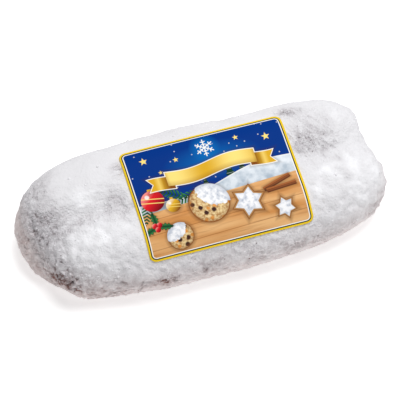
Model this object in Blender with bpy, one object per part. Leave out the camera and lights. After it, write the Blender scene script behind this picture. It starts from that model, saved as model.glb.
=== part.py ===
"""A sugar-dusted stollen with a printed paper label on its top.

Blender 4.5, metres, +Z up. The loaf lies on z = 0 with its length along X and its low front lip towards -Y.
The origin is the middle of the loaf's bounding box, at its base. It makes two objects:

loaf    one closed solid: two rolls of dough folded together over a broad foot
label   a thin sheet with round corners, bent over the two rolls
"""

from typing import NamedTuple

import bpy
import numpy as np

MM = 0.001

# ---------------------------------------------------------------------------
# Driving dimensions, in millimetres
# ---------------------------------------------------------------------------


class Roll(NamedTuple):
    """One roll of dough: an ellipsoid whose ends and section may be squarer than an ellipse's."""

    centre: tuple  # of the roll
    half: tuple  # its half length, half width and half height
    ends: float  # 2 gives pointed round ends, 4 gives blunt ones
    section: float  # 2 gives a round section, more gives a boxier one
    bow: float  # how far its tips bend towards +Y


class Swell(NamedTuple):
    """A local bulge of the dough, or a hollow where the height is negative."""

    centre: tuple
    reach: tuple  # how far it spreads along X, Y and Z
    height: float


BACK_FOLD = Roll(centre=(-1, 17.5, 26), half=(108, 30, 29), ends=3.4, section=2, bow=-3)
FRONT_LIP = Roll(centre=(4, -19.5, 23), half=(107, 30, 26.5), ends=3.0, section=2, bow=5.5)
FOOT = Roll(centre=(-2, 0, 13), half=(106.5, 44, 17), ends=3.0, section=3.2, bow=0)
ROLLS = (BACK_FOLD, FRONT_LIP, FOOT)
DOUGH_BLEND = 0.07  # how softly one roll runs into the next, as a share of a roll's radius
MEAN_RADIUS = 29  # of the rolls' sections

SWELLS = (
    Swell(centre=(94, 34, 40), reach=(16, 16, 16), height=2.0),  # blunt right shoulder
    Swell(centre=(74, 38, 44), reach=(18, 18, 18), height=0.9),  # brow beside it
    Swell(centre=(25, 36, 48), reach=(16, 16, 16), height=-1.6),  # waist of the back fold
    Swell(centre=(-100, 36, 27), reach=(15, 15, 15), height=-1.0),  # flat behind the left tip
    Swell(centre=(-96, -32, 24), reach=(12, 12, 12), height=3.0),  # cheek over the tuck
    Swell(centre=(-104, -30, 18), reach=(14, 14, 14), height=-3.9),  # tuck at the left end
    Swell(centre=(-82, -42, 8), reach=(12, 12, 12), height=0.4),  # toe below the tuck
    Swell(centre=(111, 6, 24), reach=(11, 11, 11), height=-1.0),  # notch between the rolls
    Swell(centre=(12, -3, 47), reach=(52, 11, 11), height=3.0),  # sugar that fills the fold
)

CORE_HEIGHT = 20  # the surface is found along rays from here, on the loaf's middle line
RAY_REACH = (110, 46, 30)  # half sizes of the plain dome that spreads the rays evenly
RAY_SQUARENESS = 2.6
OUTLINE_SAMPLES = 8001  # steps along which the dome's outline is measured
AROUND = 104  # points on each ring of the loaf
RINGS = 32  # rings from the rim at the base to the crown

LABEL_LENGTH = 102
LABEL_DEPTH = 74  # measured along the paper, from its back edge over the loaf to its front edge
LABEL_CORNER = 4.5
LABEL_THICKNESS = 0.4
LABEL_CENTRE_X = 6.5
LABEL_BACK_Y = 25  # where its back edge lies
LABEL_GAP = 0.3  # between the paper's underside and the dough
PRESSED_MARGIN = 9  # round the label, where the dough's own shape comes back
LEVEL_X = 2  # where the paper is highest
END_DROP = 1.6  # how far the paper drops at half its length from there
END_BOW = 0.8  # and how far it moves back
BACK_BEND = (17.5, 26.0, 29.6)  # the arc over the back fold: its centre's y and z, and its radius
FRONT_BEND = (-20.0, 21.5, 28.8)  # the arc over the front lip
CORNER_ROWS = 4
STRAIGHT_ROWS = 22
LABEL_COLUMNS = 8


# ---------------------------------------------------------------------------
# The label's bent sheet
# ---------------------------------------------------------------------------


def belt():
    """The tangent that both arcs share: its normal's angle, its length and its direction in (y, z).

    Angles run from the vertical towards -Y.
    """
    apart = np.subtract(FRONT_BEND[:2], BACK_BEND[:2])
    span = np.hypot(*apart)
    wider = BACK_BEND[2] - FRONT_BEND[2]
    angle = np.arctan2(-apart[1], -apart[0]) + np.arcsin(wider / span)
    return angle, np.sqrt(span**2 - wider**2), np.array([-np.cos(angle), -np.sin(angle)])


def first_angle():
    """The angle of the paper's normal at its back edge."""
    return -np.arcsin((LABEL_BACK_Y - BACK_BEND[0]) / BACK_BEND[2])


def settle(x):
    """How far the paper moves along (Y, Z) at x, so that it follows the loaf's taper towards its ends."""
    away = ((x - LEVEL_X) / (LABEL_LENGTH / 2)) ** 2
    return np.stack([END_BOW * away, -END_DROP * away], axis=-1)


def label_path(distance):
    """(y, z) of the paper at each distance from its back edge, before it settles.

    It follows an arc over the back fold, runs straight over the valley, and follows an arc over the lip.
    """
    shared, straight, along = belt()
    first_arc = BACK_BEND[2] * (shared - first_angle())
    on_back = np.clip(distance, None, first_arc)
    on_straight = np.clip(distance - first_arc, 0, straight)
    on_front = np.clip(distance - first_arc - straight, 0, None)
    angle = first_angle() + on_back / BACK_BEND[2] + on_front / FRONT_BEND[2]
    normal = np.stack([-np.sin(angle), np.cos(angle)], axis=-1)
    over_back = np.array(BACK_BEND[:2]) + BACK_BEND[2] * normal + on_straight[..., None] * along
    over_front = np.array(FRONT_BEND[:2]) + FRONT_BEND[2] * normal
    return np.where((on_front > 0)[..., None], over_front, over_back)


def over_paper(points):
    """Each point's height over the paper, and its distance along the paper from the back edge.

    Both are read from the arc over the back fold where the point lies before the straight run, from the
    straight run where it lies over that, and from the arc over the front lip past it.
    """
    place = points[..., 1:] - settle(points[..., 0])
    shared, straight, along = belt()
    normal = np.array([-np.sin(shared), np.cos(shared)])
    from_back = place - np.array(BACK_BEND[:2])
    from_front = place - np.array(FRONT_BEND[:2])
    run = from_back @ along
    zones = [run < 0, run > straight]
    over_back = np.linalg.norm(from_back, axis=-1) - BACK_BEND[2]
    over_front = np.linalg.norm(from_front, axis=-1) - FRONT_BEND[2]
    above = np.select(zones, [over_back, over_front], from_back @ normal - BACK_BEND[2])
    back_angle = np.arctan2(-from_back[..., 0], from_back[..., 1])
    front_angle = np.arctan2(-from_front[..., 0], from_front[..., 1])
    first_arc = BACK_BEND[2] * (shared - first_angle())
    on_back = BACK_BEND[2] * (back_angle - first_angle())
    on_front = first_arc + straight + FRONT_BEND[2] * (front_angle - shared)
    distance = np.select(zones, [on_back, on_front], first_arc + run)
    return above, distance


def label_grid():
    """The sheet's underside as rows across the loaf: a rectangle with round corners, bent over the loaf.

    A row that passes through a corner's arc is shorter by radius less the arc's half chord there.
    """
    into_corner = LABEL_CORNER * (1 - np.cos(np.linspace(0, np.pi / 2, CORNER_ROWS)))
    middle = np.linspace(LABEL_CORNER, LABEL_DEPTH - LABEL_CORNER, STRAIGHT_ROWS)
    distance = np.concatenate([into_corner[:-1], middle, LABEL_DEPTH - into_corner[-2::-1]])
    past = np.clip(LABEL_CORNER - np.minimum(distance, LABEL_DEPTH - distance), 0, None)
    shorter = LABEL_CORNER - np.sqrt(np.clip(LABEL_CORNER**2 - past**2, 0, None))
    half = LABEL_LENGTH / 2 - shorter
    grid = np.empty((len(distance), LABEL_COLUMNS, 3))
    grid[..., 0] = LABEL_CENTRE_X + half[:, None] * np.linspace(-1, 1, LABEL_COLUMNS)
    grid[..., 1:] = label_path(distance)[:, None, :] + settle(grid[..., 0])
    return grid


# ---------------------------------------------------------------------------
# The dough
# ---------------------------------------------------------------------------


def signed_power(values, power):
    """Raises to a power and keeps the sign."""
    return np.sign(values) * np.abs(values) ** power


def even_outline(count):
    """Points of a flat superellipse, |x/a|^n + |y/b|^n = 1, spread evenly along its length."""
    turn = np.linspace(0, 2 * np.pi, OUTLINE_SAMPLES)
    x = RAY_REACH[0] * signed_power(np.cos(turn), 2 / RAY_SQUARENESS)
    y = RAY_REACH[1] * signed_power(np.sin(turn), 2 / RAY_SQUARENESS)
    length = np.concatenate([[0], np.cumsum(np.hypot(np.diff(x), np.diff(y)))])
    wanted = np.linspace(0, length[-1], count, endpoint=False)
    return np.stack([np.interp(wanted, length, x), np.interp(wanted, length, y), np.zeros(count)], axis=-1)


def roll_gauge(points, roll):
    """1 on the roll's surface and less inside it.

    With x, y and z as shares of the half sizes, the section's radius is (y^s + z^s)^(1/s), and the gauge
    is (x^e + radius^e)^(1/e). The bow moves the centre line by its height times x squared.
    """
    x = np.abs(points[..., 0] - roll.centre[0]) / roll.half[0]
    y = np.abs(points[..., 1] - roll.centre[1] - roll.bow * x**2) / roll.half[1]
    z = np.abs(points[..., 2] - roll.centre[2]) / roll.half[2]
    radius = (y**roll.section + z**roll.section) ** (1 / roll.section)
    return (x**roll.ends + radius**roll.ends) ** (1 / roll.ends)


def dough_gauge(points):
    """1 on the bare dough's surface: the soft minimum of the rolls, less each swell's bell curve."""
    shares = [np.exp(-roll_gauge(points, roll) / DOUGH_BLEND) for roll in ROLLS]
    gauge = -DOUGH_BLEND * np.log(sum(shares))
    for swell in SWELLS:
        away = (points - np.array(swell.centre)) / np.array(swell.reach)
        gauge = gauge - swell.height / MEAN_RADIUS * np.exp(-(away**2).sum(axis=-1))
    return gauge


def loaf_gauge(points):
    """The dough's gauge, which turns into the paper's own under the label and fades back round it.

    The weight is 1 over the label's footprint and falls smoothly to 0 over PRESSED_MARGIN beyond it.
    """
    above, distance = over_paper(points)
    past_x = np.clip(np.abs(points[..., 0] - LABEL_CENTRE_X) - LABEL_LENGTH / 2, 0, None)
    past_edge = np.clip(np.abs(distance - LABEL_DEPTH / 2) - LABEL_DEPTH / 2, 0, None)
    nearness = np.clip(1 - np.hypot(past_x, past_edge) / PRESSED_MARGIN, 0, 1)
    weight = nearness**2 * (3 - 2 * nearness)
    pressed = 1 + (above + LABEL_GAP) / MEAN_RADIUS
    return dough_gauge(points) * (1 - weight) + pressed * weight


def reach_surface(start, rays):
    """How many times each ray fits between start and the loaf's surface, by halving an interval."""
    near = np.full(rays.shape[:-1], 0.2)
    far = np.full(rays.shape[:-1], 1.8)
    for _ in range(30):
        middle = (near + far) / 2
        inside = loaf_gauge(start + middle[..., None] * rays) < 1
        near = np.where(inside, middle, near)
        far = np.where(inside, far, middle)
    return near


def loaf_rings():
    """The loaf's surface as rings, from the rim on z = 0 up to the crown.

    Ray directions lie on a dome. Each column of them runs from the direction of its own rim point, which
    lies exactly at z = 0, up to the vertical.
    """
    outward = even_outline(AROUND)
    core = np.array([0, 0, CORE_HEIGHT])
    rim = reach_surface(np.zeros(3), outward)
    lowest = np.arctan2(-CORE_HEIGHT / RAY_REACH[2], rim)
    climb = np.linspace(0, 1, RINGS)[:, None]
    angle = lowest + (np.pi / 2 - lowest) * climb
    rays = outward * np.cos(angle)[..., None]
    rays[..., 2] = RAY_REACH[2] * np.sin(angle)
    rings = core + reach_surface(core, rays)[..., None] * rays
    rings[0, :, 2] = 0
    return rings


# ---------------------------------------------------------------------------
# Blender objects
# ---------------------------------------------------------------------------


def material(name, colour, roughness):
    made = bpy.data.materials.new(name)
    made.use_nodes = True
    shader = made.node_tree.nodes["Principled BSDF"]
    shader.inputs["Base Color"].default_value = (*colour, 1)
    shader.inputs["Roughness"].default_value = roughness
    shader.inputs["Metallic"].default_value = 0
    made.diffuse_color = (*colour, 1)
    return made


def add_object(name, points, faces, surface):
    """Makes a smooth-shaded mesh object from points in millimetres."""
    mesh = bpy.data.meshes.new(name)
    mesh.from_pydata((points * MM).tolist(), [], faces)
    mesh.materials.append(surface)
    mesh.shade_smooth()
    made = bpy.data.objects.new(name, mesh)
    bpy.context.collection.objects.link(made)
    return made


def make_loaf(rings):
    """Joins the rings with quads, closes the crown with triangles and the flat base with one face."""
    body = rings[:-1]
    crown = rings[-1, 0]
    count, around = body.shape[:2]
    index = np.arange(count * around).reshape(count, around)
    after = np.roll(index, -1, axis=1)
    quads = np.stack([index[:-1], after[:-1], after[1:], index[1:]], axis=-1).reshape(-1, 4)
    top = np.full(around, count * around)
    fan = np.stack([index[-1], after[-1], top], axis=-1)
    base = [index[0, ::-1].tolist()]
    points = np.concatenate([body.reshape(-1, 3), crown[None]])
    sugar = material("icing_sugar", (0.82, 0.80, 0.81), 0.95)
    made = add_object("loaf", points, quads.tolist() + fan.tolist() + base, sugar)
    made.data.set_sharp_from_angle(angle=np.radians(50))
    return made


def make_label(grid):
    """The sheet is one layer of quads, and a Solidify modifier gives the paper its thickness."""
    rows, columns = grid.shape[:2]
    index = np.arange(rows * columns).reshape(rows, columns)
    corners = [index[:-1, :-1], index[1:, :-1], index[1:, 1:], index[:-1, 1:]]
    quads = np.stack(corners, axis=-1).reshape(-1, 4)
    paper = material("printed_paper", (0.15, 0.22, 0.42), 0.45)
    made = add_object("label", grid.reshape(-1, 3), quads.tolist(), paper)
    sheet = made.modifiers.new("paper", "SOLIDIFY")
    sheet.thickness = LABEL_THICKNESS * MM
    sheet.offset = 1
    return made


def main():
    for old in list(bpy.data.objects):
        bpy.data.objects.remove(old)
    rings = loaf_rings()
    grid = label_grid()
    flat = rings.reshape(-1, 3)
    middle = (flat.min(axis=0) + flat.max(axis=0)) / 2
    middle[2] = 0
    make_loaf(rings - middle)
    make_label(grid - middle)


main()
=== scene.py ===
# %% [markdown]
# # A sugar-dusted stollen with a printed label
#
# A stollen is a rich fruit loaf. Two rolls of dough are folded over each other, baked on a tray, brushed
# with butter and buried in icing sugar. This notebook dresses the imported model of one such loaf: a fine
# crust with real relief, a coat of sugar that is thick in some places and thin in others, loose crumbs,
# and a printed paper label bent over the top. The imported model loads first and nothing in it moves.

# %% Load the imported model
from itertools import product
from typing import NamedTuple

import bmesh
import bpy
import numpy as np
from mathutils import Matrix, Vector


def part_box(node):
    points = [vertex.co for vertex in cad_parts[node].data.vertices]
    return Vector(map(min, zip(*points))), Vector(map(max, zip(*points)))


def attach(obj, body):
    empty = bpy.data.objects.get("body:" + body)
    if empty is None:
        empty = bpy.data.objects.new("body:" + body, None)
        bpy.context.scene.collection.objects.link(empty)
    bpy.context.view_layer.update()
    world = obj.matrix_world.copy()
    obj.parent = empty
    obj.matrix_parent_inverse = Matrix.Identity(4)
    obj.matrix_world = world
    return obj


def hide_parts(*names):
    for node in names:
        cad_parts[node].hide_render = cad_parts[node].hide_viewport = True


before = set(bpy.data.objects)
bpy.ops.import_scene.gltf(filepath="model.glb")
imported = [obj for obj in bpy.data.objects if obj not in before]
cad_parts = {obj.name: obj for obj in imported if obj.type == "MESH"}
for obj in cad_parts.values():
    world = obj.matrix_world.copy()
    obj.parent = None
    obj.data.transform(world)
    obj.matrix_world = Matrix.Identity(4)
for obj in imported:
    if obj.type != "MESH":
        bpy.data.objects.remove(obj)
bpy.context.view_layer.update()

MM = 0.001  # shapes are worked out in millimetres and put into meshes in metres
loaf_low, loaf_high = (np.array(corner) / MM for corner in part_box("loaf"))
label_low, label_high = (np.array(corner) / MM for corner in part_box("label"))
print("loaf", (loaf_high - loaf_low).round(1), "mm, label", (label_high - label_low).round(1), "mm")

# %% [markdown]
# ## The dough
#
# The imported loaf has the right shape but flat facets. A finer copy could come from a subdivision surface,
# but that would round the facets and not the dough. Here the same formula is worked out again on a much
# finer grid. Each roll of dough has a *gauge*: a number that is 1 on its surface and less inside. The rolls
# run together where the gauges are joined by a soft minimum, and a few bell curves swell or dent the dough.
# Sugar, relief and bulges are written with the same bell curves further on.


# %% The rolls and swells of the dough, in millimetres
class Roll(NamedTuple):
    """One roll of dough: an ellipsoid whose ends and section may be squarer than an ellipse's."""

    centre: tuple
    half: tuple  # its half length, half width and half height
    ends: float  # 2 gives pointed round ends, 4 gives blunt ones
    section: float  # 2 gives a round section, more gives a boxier one
    bow: float  # how far its tips bend towards +Y


class Spot(NamedTuple):
    """A bell curve in space. Tables give its centre, its reach along X, Y and Z, and its height."""

    centre: tuple
    reach: tuple
    height: float


ROLLS = (
    Roll(centre=(-1, 17.5, 26), half=(108, 30, 29), ends=3.4, section=2, bow=-3),  # back fold
    Roll(centre=(4, -19.5, 23), half=(107, 30, 26.5), ends=3.0, section=2, bow=5.5),  # front lip
    Roll(centre=(-2, 0, 13), half=(106.5, 44, 17), ends=3.0, section=3.2, bow=0),  # broad foot
)
DOUGH_BLEND = 0.07  # how softly one roll runs into the next, as a share of a roll's radius
MEAN_RADIUS = 29
SWELLS = (
    Spot((94, 34, 40), (16, 16, 16), 2.0),  # blunt right shoulder
    Spot((74, 38, 44), (18, 18, 18), 0.9),  # brow beside it
    Spot((25, 36, 48), (16, 16, 16), -1.6),  # waist of the back fold
    Spot((-100, 36, 27), (15, 15, 15), -1.0),  # flat behind the left tip
    Spot((-96, -32, 24), (12, 12, 12), 3.0),  # cheek over the tuck
    Spot((-104, -30, 18), (14, 14, 14), -3.9),  # tuck at the left end
    Spot((-82, -42, 8), (12, 12, 12), 0.4),  # toe below the tuck
    Spot((111, 6, 24), (11, 11, 11), -1.0),  # notch between the rolls
    Spot((12, -3, 47), (52, 11, 11), 3.0),  # sugar that fills the fold
)


def bells(points, spots):
    """The sum of the spots' bell curves: height times e to the minus squared distance, in reaches."""
    total = np.zeros(points.shape[:-1])
    for spot in spots:
        away = (points - np.array(spot.centre)) / np.array(spot.reach)
        total += spot.height * np.exp(-(away**2).sum(axis=-1))
    return total


def roll_gauge(points, roll):
    """1 on the roll's surface: (x^e + radius^e)^(1/e), where the section's radius is (y^s + z^s)^(1/s)."""
    x = np.abs(points[..., 0] - roll.centre[0]) / roll.half[0]
    y = np.abs(points[..., 1] - roll.centre[1] - roll.bow * x**2) / roll.half[1]
    z = np.abs(points[..., 2] - roll.centre[2]) / roll.half[2]
    radius = (y**roll.section + z**roll.section) ** (1 / roll.section)
    return (x**roll.ends + radius**roll.ends) ** (1 / roll.ends)


def dough_gauge(points):
    """The soft minimum of the rolls' gauges, -k log(sum of e^(-gauge / k)), less the swells."""
    shares = sum(np.exp(-roll_gauge(points, roll) / DOUGH_BLEND) for roll in ROLLS)
    return -DOUGH_BLEND * np.log(shares) - bells(points, SWELLS) / MEAN_RADIUS


# %% [markdown]
# ## The path of the paper
#
# A label can't stretch, so it takes the shortest way over the two rolls: an arc over the back fold, a
# straight run over the valley, and an arc over the front lip. That belt is a formula too. It places the
# label, and it also presses the dough just below the paper, so that the two never touch.

# %% The label's path over the loaf
LABEL_LENGTH = 102
LABEL_DEPTH = 74  # along the paper, from its back edge over the loaf to its front edge
LABEL_CORNER = 4.5
LABEL_CENTRE_X = 6.5
LABEL_BACK_Y = 25
LABEL_GAP = 0.3
PRESSED_MARGIN = 9  # round the label, where the dough's own shape comes back
LEVEL_X, END_DROP, END_BOW = 2, 1.6, 0.8  # the paper dips and bows with the loaf away from LEVEL_X
BACK_BEND, BACK_RADIUS = np.array([17.5, 26.0]), 29.6  # the arc's centre (y, z), and its radius
FRONT_BEND, FRONT_RADIUS = np.array([-20.0, 21.5]), 28.8

apart = FRONT_BEND - BACK_BEND
BELT_RUN = np.sqrt(apart @ apart - (BACK_RADIUS - FRONT_RADIUS) ** 2)
BELT_ANGLE = np.arctan2(-apart[1], -apart[0]) + np.arcsin((BACK_RADIUS - FRONT_RADIUS) / np.hypot(*apart))
BELT_ALONG = np.array([-np.cos(BELT_ANGLE), -np.sin(BELT_ANGLE)])
BELT_NORMAL = np.array([-np.sin(BELT_ANGLE), np.cos(BELT_ANGLE)])
FIRST_ANGLE = -np.arcsin((LABEL_BACK_Y - BACK_BEND[0]) / BACK_RADIUS)
FIRST_ARC = BACK_RADIUS * (BELT_ANGLE - FIRST_ANGLE)
print(f"paper: {FIRST_ARC:.1f} mm of arc, {BELT_RUN:.1f} mm straight, then an arc again")


def settle(x):
    """How far the paper moves along (Y, Z) at x, as it follows the loaf's taper."""
    away = ((x - LEVEL_X) / (LABEL_LENGTH / 2)) ** 2
    return np.stack([END_BOW * away, -END_DROP * away], axis=-1)


def label_path(distance):
    """(y, z) of the paper, and its normal, at each distance from the back edge, before it settles."""
    on_back = np.clip(distance, None, FIRST_ARC)
    on_run = np.clip(distance - FIRST_ARC, 0, BELT_RUN)
    on_front = np.clip(distance - FIRST_ARC - BELT_RUN, 0, None)
    angle = FIRST_ANGLE + on_back / BACK_RADIUS + on_front / FRONT_RADIUS
    normal = np.stack([-np.sin(angle), np.cos(angle)], axis=-1)
    over_back = BACK_BEND + BACK_RADIUS * normal + on_run[..., None] * BELT_ALONG
    over_front = FRONT_BEND + FRONT_RADIUS * normal
    return np.where((on_front > 0)[..., None], over_front, over_back), normal


def over_paper(points):
    """Each point's height over the paper and its distance along it, read from whichever stretch is near."""
    place = points[..., 1:] - settle(points[..., 0])
    from_back, from_front = place - BACK_BEND, place - FRONT_BEND
    run = from_back @ BELT_ALONG
    zones = [run < 0, run > BELT_RUN]
    over_back = np.linalg.norm(from_back, axis=-1) - BACK_RADIUS
    over_front = np.linalg.norm(from_front, axis=-1) - FRONT_RADIUS
    above = np.select(zones, [over_back, over_front], from_back @ BELT_NORMAL - BACK_RADIUS)
    back_angle = np.arctan2(-from_back[..., 0], from_back[..., 1])
    front_angle = np.arctan2(-from_front[..., 0], from_front[..., 1])
    on_back = BACK_RADIUS * (back_angle - FIRST_ANGLE)
    on_front = FIRST_ARC + BELT_RUN + FRONT_RADIUS * (front_angle - BELT_ANGLE)
    return above, np.select(zones, [on_back, on_front], FIRST_ARC + run)


def near_label(points, distance, margin):
    """1 over the label's footprint, falling to 0 over the margin round it, as 3t^2 - 2t^3."""
    past_x = np.clip(np.abs(points[..., 0] - LABEL_CENTRE_X) - LABEL_LENGTH / 2, 0, None)
    past_edge = np.clip(np.abs(distance - LABEL_DEPTH / 2) - LABEL_DEPTH / 2, 0, None)
    nearness = np.clip(1 - np.hypot(past_x, past_edge) / margin, 0, 1)
    return nearness**2 * (3 - 2 * nearness)


def loaf_gauge(points):
    """The dough's gauge, which turns into the paper's own under the label."""
    above, distance = over_paper(points)
    weight = near_label(points, distance, PRESSED_MARGIN)
    pressed = 1 + (above + LABEL_GAP) / MEAN_RADIUS
    return dough_gauge(points) * (1 - weight) + pressed * weight


# %% [markdown]
# ## A grid over the loaf
#
# The loaf is star-shaped: every ray from a point deep inside meets the surface once. So the mesh is a
# grid of rays. Its columns stand round the outline and its rings climb from the rim on the table to the
# crown, which lies hidden under the label. An axis along the loaf would put a pole at each end, in plain
# sight. Halving an interval again and again finds where each ray meets the gauge's 1.

# %% Rays from the core to the surface
CORE = np.array([0.0, 0.0, 20.0])
RAY_REACH = np.array([110.0, 46.0, 30.0])
RAY_SQUARENESS = 2.6
NEAREST, FARTHEST = 0.2, 1.8  # every ray meets the surface between these, counted in its own lengths
HALVINGS = 22
OUTLINE_STEPS = 8000
AROUND = 720
RINGS = 130


def reach_surface(start, rays):
    """How many times each ray fits between start and the surface, found by halving an interval."""
    near, far = np.full(rays.shape[:-1], NEAREST), np.full(rays.shape[:-1], FARTHEST)
    for _ in range(HALVINGS):
        middle = (near + far) / 2
        inside = loaf_gauge(start + middle[..., None] * rays) < 1
        near, far = np.where(inside, middle, near), np.where(inside, far, middle)
    return near


def even_outline(count):
    """Points of a superellipse, |x/a|^n + |y/b|^n = 1, spread evenly along its length."""
    turn = np.linspace(0, 2 * np.pi, OUTLINE_STEPS + 1)
    power = 2 / RAY_SQUARENESS
    x = RAY_REACH[0] * np.sign(np.cos(turn)) * np.abs(np.cos(turn)) ** power
    y = RAY_REACH[1] * np.sign(np.sin(turn)) * np.abs(np.sin(turn)) ** power
    length = np.concatenate([[0], np.cumsum(np.hypot(np.diff(x), np.diff(y)))])
    wanted = np.linspace(0, length[-1], count, endpoint=False)
    return np.stack([np.interp(wanted, length, x), np.interp(wanted, length, y), np.zeros(count)], axis=-1)


def smooth_rings(around, rings):
    """The bare dough as rings of points, from the rim at z = 0 up to the crown."""
    outward = even_outline(around)
    rim = reach_surface(np.zeros(3), outward)
    lowest = np.arctan2(-CORE[2] / RAY_REACH[2], rim)
    angle = lowest + (np.pi / 2 - lowest) * np.linspace(0, 1, rings)[:, None]
    rays = outward * np.cos(angle)[..., None]
    rays[..., 2] = RAY_REACH[2] * np.sin(angle)
    points = CORE + reach_surface(CORE, rays)[..., None] * rays
    points[0, :, 2] = 0
    return points


dough = smooth_rings(AROUND, RINGS)
own_low, own_high = dough.reshape(-1, 3).min(axis=0), dough.reshape(-1, 3).max(axis=0)
TO_FRAME = (loaf_low + loaf_high) / 2 - (own_low + own_high) / 2
TO_FRAME[2] = 0
print("dough", (own_high - own_low).round(2), "mm against", (loaf_high - loaf_low).round(2), "in the model")

# %% [markdown]
# ## Relief and sugar
#
# Baked dough is lumpy at every scale, and sugar evens it out where it lies thick. Both come from one kind
# of noise: random values on a cubic lattice, blended smoothly between. A displacement modifier could do
# this in Blender, but the relief has to know the sugar, so both are arrays here. A table of bell curves
# says where the sugar lacks and where it is heaped, and noise breaks these spots up into patches, strokes
# and clods. These spots are partly painted light and shade: thin sugar darkens the left end, the steep
# sides and the feet more than the lamp does, and some heaps whiten places that the lamp leaves darker.
# The sugar's thickness becomes an attribute of the mesh, and the material reads it.


# %% Lattice noise
LATTICE_TURN = np.array([[0.80, 0.36, -0.48], [-0.60, 0.48, -0.64], [0.0, 0.80, 0.60]])
LATTICE_VALUES = 4096
CORNER_PRIMES = np.array([73856093, 19349663, 83492791])  # they scatter corners over the values


def lattice_noise(points, size, seed):
    """Values from -1 to 1 on a lattice of this size, blended between eight corners by 3t^2 - 2t^3.

    The lattice is turned a little, so that its planes don't line up with the loaf.
    """
    turned = points @ LATTICE_TURN
    values = np.random.default_rng(seed).uniform(-1, 1, LATTICE_VALUES)
    cell = np.floor(turned / size).astype(np.int64)
    part = turned / size - cell
    weight = part * part * (3 - 2 * part)
    total = np.zeros(points.shape[:-1])
    for corner in product((0, 1), repeat=3):
        x, y, z = np.moveaxis((cell + np.array(corner)) * CORNER_PRIMES, -1, 0)
        share = np.prod(np.where(corner, weight, 1 - weight), axis=-1)
        total += values[(x ^ y ^ z) % LATTICE_VALUES] * share
    return total


def ramp(values, low, high):
    """0 below low, 1 above high, and 3t^2 - 2t^3 between them."""
    share = np.clip((values - low) / (high - low), 0, 1)
    return share * share * (3 - 2 * share)


def surface_normals(rings):
    """Unit normals of a grid of rings: the cross product of its two directions."""
    round_it = np.roll(rings, -1, axis=1) - np.roll(rings, 1, axis=1)
    up_it = np.gradient(rings, axis=0)
    normal = np.cross(round_it, up_it)
    normal[-1] = (0, 0, 1)
    return normal / np.linalg.norm(normal, axis=-1, keepdims=True)


# %% Where the sugar lies thin
# Partly painted shade: besides thinning the sugar, the spots at the left end, over the tuck, at the toe and
# along the front lip and feet darken these sides more than the lamp does.
THIN_SUGAR_AND_SHADE_SPOTS = (
    Spot((-106, -6, 31), (18, 40, 24), 0.40),  # the whole left end
    Spot((-89, 2, 46), (9, 8, 8), 0.14),
    Spot((-97, -2, 41), (12, 10, 9), 0.26),  # crinkles on its shoulder
    Spot((-98, -16, 36), (9, 8, 9), 0.12),
    Spot((-77, -9, 45), (12, 5.5, 8), 0.36),
    Spot((-54, -7, 49), (13, 12, 9), 0.28),  # the fold, left of the label
    Spot((-47, 15.5, 54), (5, 5, 5), 0.44),
    Spot((-97, 22, 45), (12, 10, 8), 0.26),
    Spot((-97, -33, 24), (12, 9, 10), 0.70),  # over the tuck
    Spot((-94, -27, 36), (6, 5, 6), 0.26),
    Spot((-103, -20, 15), (12, 14, 9), 0.26),  # bare crust low at the left end, with painted shade
    Spot((-78, -46, 17), (30, 12, 15), 0.38),  # toe
    Spot((10, -47, 32), (62, 12, 12), 0.23),  # the front lip, below the label
    Spot((0, -50, 16), (75, 10, 12), 0.16),  # front foot
    Spot((78, -46, 22), (30, 14, 15), 0.09),
    Spot((-38, -49, 21), (8, 5, 4.5), 0.58),  # worn patches along it
    Spot((-61, -46, 23), (3.5, 5, 5), 0.28),
    Spot((-11, -49, 25), (5, 5, 4), 0.44),
    Spot((53, -48, 22), (11, 5, 5), 0.25),
    Spot((75.5, 9, 50), (14, 12, 8), 0.38),  # the fold, right of the label
    Spot((64, 28, 52), (8, 5, 6), 0.42),
    Spot((62, 4, 50), (5, 9, 6), 0.34),
    Spot((78, -6, 47), (8, 7, 5), 0.14),
    Spot((88, -10, 45), (5, 4, 5), 0.16),  # ridges on the front lip's right end
    Spot((88, -28, 41), (8, 7, 7), 0.15),
    Spot((77, -37, 38), (12, 7, 6), 0.11),
    Spot((104, -32, 24), (14, 15, 12), 0.17),
    Spot((82, -14, 46), (26, 18, 9), 0.03),
    Spot((113, 2, 16), (10, 32, 12), 0.20),  # right end
    Spot((0, 50, 13), (100, 11, 14), 0.28),  # back foot
    Spot((-30, 45, 33), (16, 8, 8), 0.30),  # worn patches on the back
    Spot((44, 47, 24), (12, 6, 7), 0.36),
    Spot((-72, 42, 26), (10, 7, 8), 0.34),
    Spot((8, 47, 19), (5, 5, 4), 0.40),
    Spot((-8, 46, 36), (13, 4, 6), 0.30),
    Spot((76, 46, 34), (11, 5, 7), 0.26),
    Spot((30, 47, 33), (8, 4, 5), 0.22),
)
print(len(THIN_SUGAR_AND_SHADE_SPOTS), "thin spots")

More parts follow.
